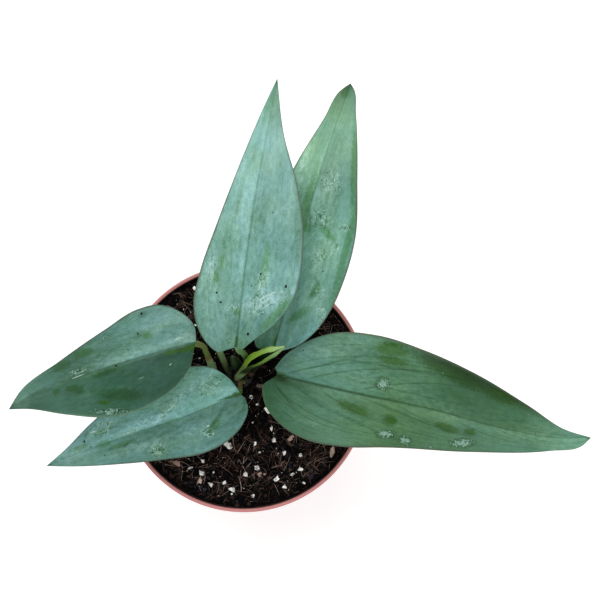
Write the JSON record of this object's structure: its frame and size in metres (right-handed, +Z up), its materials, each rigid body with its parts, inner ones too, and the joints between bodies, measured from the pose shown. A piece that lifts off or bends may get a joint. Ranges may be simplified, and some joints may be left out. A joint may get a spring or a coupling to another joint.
{
  "type": "potted scindapsus",
  "caption": "Potted scindapsus: long silvery green leaves arch out from a short stem in a round tapered plastic grower's pot filled with dark soil.",
  "frame": {"origin": "middle of the underside of the pot", "axes": "+Z up through the pot; +X towards the side that the longest leaf reaches over; +Y towards the two leaves that lie side by side"},
  "size_m": [0.2743, 0.1996, 0.1739],
  "materials": {
    "pot": "satin moulded plastic, terracotta colour",
    "soil": "moist peat with white grains and bark chips",
    "stem": "smooth green skin",
    "shoot": "smooth yellow-green skin",
    "silver_leaf": "silvery blue-green leaf, satin",
    "green_leaf": "darker green leaf, satin"
  },
  "bodies": {
    "root": {"pot": "pot", "soil": "soil", "main_stem": "stem", "petiole_3": "stem", "petiole_4": "stem", "new_shoot": "shoot", "blade_1": "silver_leaf", "blade_2": "silver_leaf", "blade_3": "green_leaf", "blade_4": "silver_leaf", "blade_5": "silver_leaf"}
  },
  "joints": []
}
